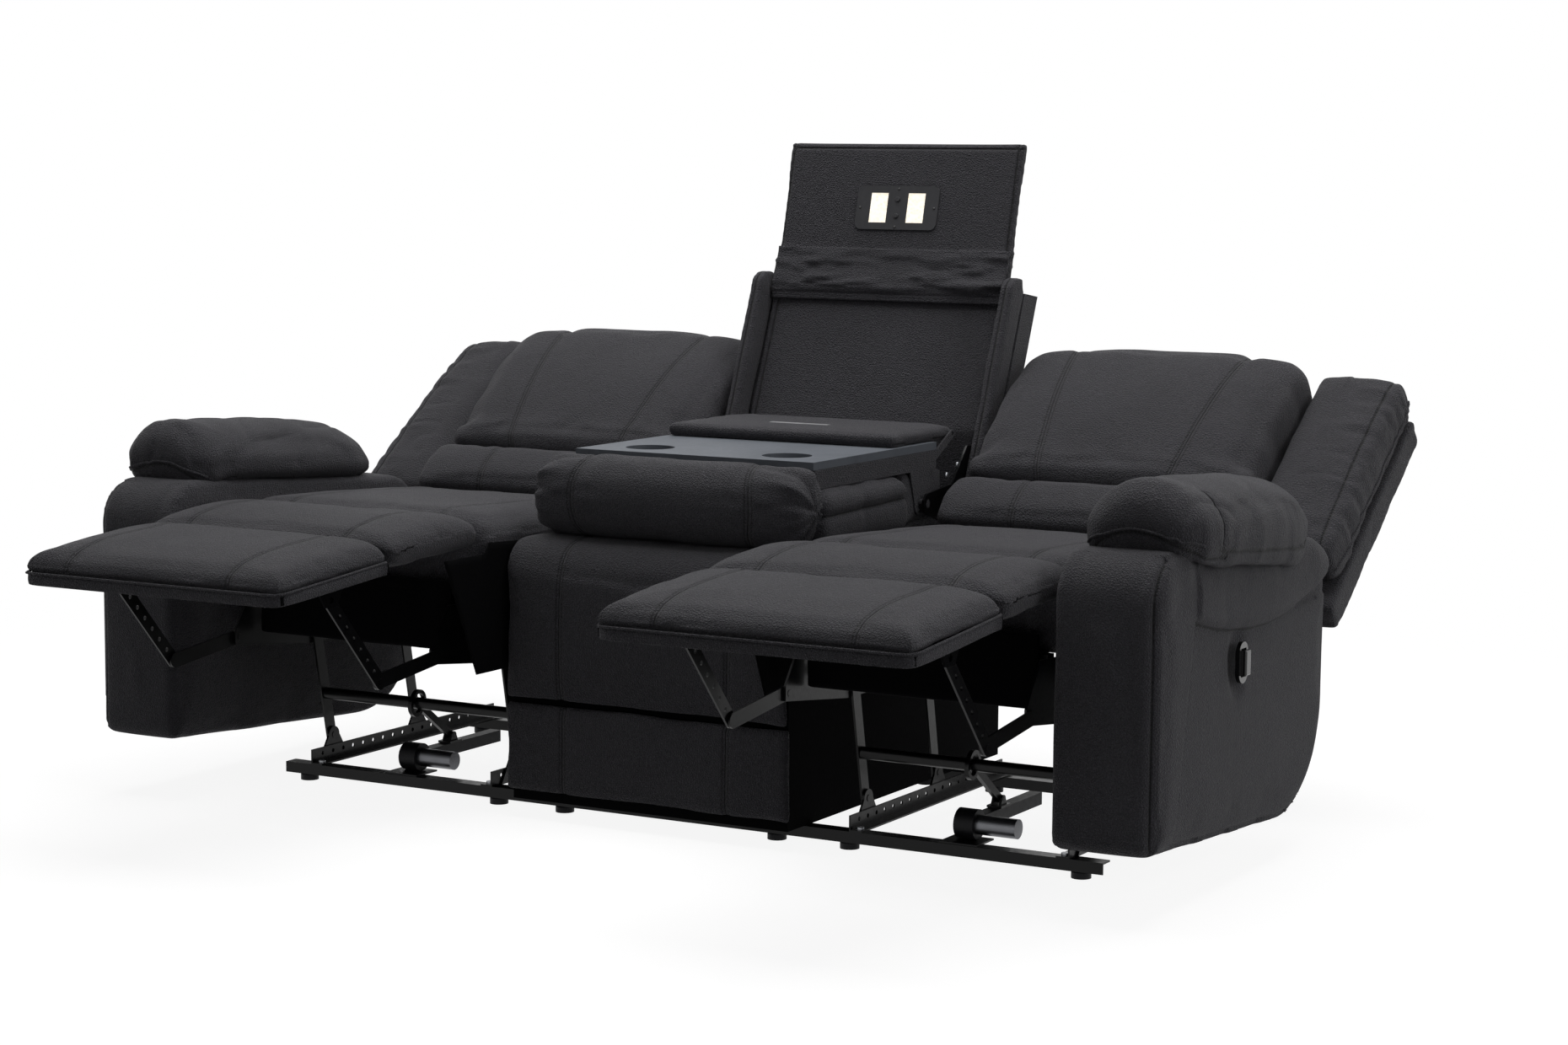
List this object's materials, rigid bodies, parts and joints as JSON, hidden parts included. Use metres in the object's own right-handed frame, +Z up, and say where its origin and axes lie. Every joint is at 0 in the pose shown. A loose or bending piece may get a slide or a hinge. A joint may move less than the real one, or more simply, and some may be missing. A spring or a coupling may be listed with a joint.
{
  "type": "reclining sofa",
  "caption": "Three seat power reclining sofa with a drop down console table, a fold up reading light panel and footrests that extend.",
  "frame": {"origin": "bottom centre of the bounding box, on the floor", "axes": "+X along the sofa to the right of someone facing it, +Y from its front to its back, +Z up"},
  "size_m": [2.1946, 1.6622, 1.2089],
  "materials": {
    "charcoal_leather": "fine grained, soft sheen",
    "black_lining": "plain woven",
    "black_steel": "gloss black",
    "bright_steel": "zinc plated",
    "motor_grey": "satin",
    "black_plastic": "matte",
    "switch_black": "gloss",
    "tray_grey": "fine texture",
    "bezel_grey": "satin",
    "lens_warm": "lit, frosted"
  },
  "bodies": {
    "base": {"front_rail": "black_steel", "rear_rail": "black_steel", "side_rails": "black_steel", "feet": "black_plastic", "base_brackets": "black_steel", "rail_bolts": "bright_steel", "motor_gearboxes": "black_plastic", "motor_cans": "motor_grey", "motor_tracks": "black_plastic", "centre_seat_box": "black_lining", "centre_seat_cushion": "charcoal_leather", "kick_panel": "charcoal_leather", "centre_back_shell": "charcoal_leather", "niche_panel": "charcoal_leather", "centre_bolsters": "charcoal_leather", "console_hinge_brackets": "black_steel", "power_inlet": "black_plastic"},
    "console_table": {"table_box": "black_plastic", "table_tray": "tray_grey", "table_pillow": "charcoal_leather"},
    "console_lid": {"table_lid": "charcoal_leather"},
    "light_flap": {"light_panel": "charcoal_leather", "light_bezel": "bezel_grey", "light_lenses": "lens_warm"},
    "upper_button": {"light_button_upper": "bezel_grey"},
    "lower_button": {"light_button_lower": "bezel_grey"},
    "front_swing_left": {"swing_links_front_left": "black_steel"},
    "rear_swing_left": {"swing_links_rear_left": "black_steel"},
    "seat_left": {"seat_frame_left": "black_steel", "seat_cushion_left": "charcoal_leather", "arm_left": "charcoal_leather", "arm_pad_left": "charcoal_leather", "switch_bezel_left": "switch_black", "chaise_pad_left": "charcoal_leather"},
    "back_left": {"back_shell_left": "charcoal_leather", "back_cushions_left": "charcoal_leather"},
    "ottoman_left": {"ottoman_board_left": "black_lining", "ottoman_pad_left": "charcoal_leather"},
    "footrest_rear_link_left": {"footrest_rear_links_left": "black_steel"},
    "footrest_front_link_left": {"footrest_front_links_left": "black_steel"},
    "switch_rocker_body_left": {"switch_rocker_left": "switch_black"},
    "drive_block_body_left": {"drive_block_left": "black_steel"},
    "drive_link_body_left": {"drive_link_left": "black_steel"},
    "front_swing_right": {"swing_links_front_right": "black_steel"},
    "rear_swing_right": {"swing_links_rear_right": "black_steel"},
    "seat_right": {"seat_frame_right": "black_steel", "seat_cushion_right": "charcoal_leather", "arm_right": "charcoal_leather", "arm_pad_right": "charcoal_leather", "switch_bezel_right": "switch_black", "chaise_pad_right": "charcoal_leather"},
    "back_right": {"back_shell_right": "charcoal_leather", "back_cushions_right": "charcoal_leather"},
    "ottoman_right": {"ottoman_board_right": "black_lining", "ottoman_pad_right": "charcoal_leather"},
    "footrest_rear_link_right": {"footrest_rear_links_right": "black_steel"},
    "footrest_front_link_right": {"footrest_front_links_right": "black_steel"},
    "switch_rocker_body_right": {"switch_rocker_right": "switch_black"},
    "drive_block_body_right": {"drive_block_right": "black_steel"},
    "drive_link_body_right": {"drive_link_right": "black_steel"}
  },
  "joints": [
    {"name": "recline_left", "type": "hinge", "parent": "base", "child": "front_swing_left", "pos_m": [-0.578, -0.05698, 0.078], "axis": [-1, 0, 0], "range_deg": [0, 50.8]},
    {"name": "seat_glide_left", "type": "hinge", "parent": "front_swing_left", "child": "seat_left", "pos_m": [-0.578, -0.10442, 0.31327], "axis": [-1, 0, 0], "range_deg": [-50.8, 0]},
    {"name": "rear_swing_pivot_left", "type": "hinge", "parent": "base", "child": "rear_swing_left", "pos_m": [-0.578, 0.21302, 0.078], "axis": [-1, 0, 0], "range_deg": [0, 50.8]},
    {"name": "drive_slide_left", "type": "slide", "parent": "base", "child": "drive_block_body_left", "axis": [0, 1, 0], "range_m": [0, 0.0811]},
    {"name": "drive_link_pivot_left", "type": "hinge", "parent": "drive_block_body_left", "child": "drive_link_body_left", "pos_m": [-0.578, 0.03164, 0.084], "axis": [1, 0, 0], "range_deg": [0, 6.96]},
    {"name": "back_tilt_left", "type": "hinge", "parent": "seat_left", "child": "back_left", "pos_m": [-0.578, 0.37302, 0.48], "axis": [1, 0, 0], "range_deg": [0, 42]},
    {"name": "footrest_left", "type": "hinge", "parent": "seat_left", "child": "ottoman_left", "pos_m": [-0.578, -0.43369, 0.55854], "axis": [1, 0, 0], "range_deg": [0, 86], "deforming": ["chaise_pad_left"]},
    {"name": "footrest_rear_pivot_left", "type": "hinge", "parent": "seat_left", "child": "footrest_rear_link_left", "pos_m": [-0.578, -0.32198, 0.3], "axis": [1, 0, 0], "range_deg": [0, 131.5]},
    {"name": "footrest_knee_left", "type": "hinge", "parent": "footrest_rear_link_left", "child": "footrest_front_link_left", "pos_m": [-0.578, -0.49498, 0.28], "axis": [1, 0, 0], "range_deg": [-133.5, 0]},
    {"name": "switch_left", "type": "hinge", "parent": "seat_left", "child": "switch_rocker_body_left", "pos_m": [-1.063, -0.07898, 0.378], "axis": [0, 1, 0], "range_deg": [-8, 8], "stiffness_Nm_per_rad": 0.3},
    {"name": "recline_right", "type": "hinge", "parent": "base", "child": "front_swing_right", "pos_m": [0.578, -0.05698, 0.078], "axis": [-1, 0, 0], "range_deg": [0, 50.8]},
    {"name": "seat_glide_right", "type": "hinge", "parent": "front_swing_right", "child": "seat_right", "pos_m": [0.578, -0.10442, 0.31327], "axis": [-1, 0, 0], "range_deg": [-50.8, 0]},
    {"name": "rear_swing_pivot_right", "type": "hinge", "parent": "base", "child": "rear_swing_right", "pos_m": [0.578, 0.21302, 0.078], "axis": [-1, 0, 0], "range_deg": [0, 50.8]},
    {"name": "drive_slide_right", "type": "slide", "parent": "base", "child": "drive_block_body_right", "axis": [0, 1, 0], "range_m": [0, 0.0811]},
    {"name": "drive_link_pivot_right", "type": "hinge", "parent": "drive_block_body_right", "child": "drive_link_body_right", "pos_m": [0.578, 0.03164, 0.084], "axis": [1, 0, 0], "range_deg": [0, 6.96]},
    {"name": "back_tilt_right", "type": "hinge", "parent": "seat_right", "child": "back_right", "pos_m": [0.578, 0.37302, 0.48], "axis": [1, 0, 0], "range_deg": [0, 42]},
    {"name": "footrest_right", "type": "hinge", "parent": "seat_right", "child": "ottoman_right", "pos_m": [0.578, -0.43369, 0.55854], "axis": [1, 0, 0], "range_deg": [0, 86], "deforming": ["chaise_pad_right"]},
    {"name": "footrest_rear_pivot_right", "type": "hinge", "parent": "seat_right", "child": "footrest_rear_link_right", "pos_m": [0.578, -0.32198, 0.3], "axis": [1, 0, 0], "range_deg": [0, 131.5]},
    {"name": "footrest_knee_right", "type": "hinge", "parent": "footrest_rear_link_right", "child": "footrest_front_link_right", "pos_m": [0.578, -0.49498, 0.28], "axis": [1, 0, 0], "range_deg": [-133.5, 0]},
    {"name": "switch_right", "type": "hinge", "parent": "seat_right", "child": "switch_rocker_body_right", "pos_m": [1.063, -0.07898, 0.378], "axis": [0, 1, 0], "range_deg": [-8, 8], "stiffness_Nm_per_rad": 0.3},
    {"name": "table_drop", "type": "hinge", "parent": "base", "child": "console_table", "pos_m": [0, 0.37302, 0.545], "axis": [-1, 0, 0], "range_deg": [0, 112]},
    {"name": "lid", "type": "hinge", "parent": "console_table", "child": "console_lid", "pos_m": [0, 0.50302, 0.665], "axis": [1, 0, 0], "range_deg": [-95, 0]},
    {"name": "light_flap_fold", "type": "hinge", "parent": "base", "child": "light_flap", "pos_m": [0, 0.70659, 0.937], "axis": [1, 0, 0], "range_deg": [0, 172]},
    {"name": "upper_light_button", "type": "slide", "parent": "light_flap", "child": "upper_button", "axis": [0, 0.9703, -0.2419], "range_m": [0, 0.0015], "stiffness_N_per_m": 800},
    {"name": "lower_light_button", "type": "slide", "parent": "light_flap", "child": "lower_button", "axis": [0, 0.9703, -0.2419], "range_m": [0, 0.0015], "stiffness_N_per_m": 800}
  ],
  "couplings": [
    {"joint": "seat_glide_left", "follows": "recline_left", "ratio": -1},
    {"joint": "rear_swing_pivot_left", "follows": "recline_left", "ratio": 1},
    {"joint": "drive_slide_left", "follows": "recline_left", "m_per_rad": 0.090889},
    {"joint": "drive_link_pivot_left", "follows": "recline_left", "ratio": 0.13312},
    {"joint": "footrest_rear_pivot_left", "follows": "footrest_left", "ratio": 1.5229},
    {"joint": "footrest_knee_left", "follows": "footrest_left", "ratio": -1.5468},
    {"joint": "seat_glide_right", "follows": "recline_right", "ratio": -1},
    {"joint": "rear_swing_pivot_right", "follows": "recline_right", "ratio": 1},
    {"joint": "drive_slide_right", "follows": "recline_right", "m_per_rad": 0.090889},
    {"joint": "drive_link_pivot_right", "follows": "recline_right", "ratio": 0.13312},
    {"joint": "footrest_rear_pivot_right", "follows": "footrest_right", "ratio": 1.5229},
    {"joint": "footrest_knee_right", "follows": "footrest_right", "ratio": -1.5468}
  ]
}
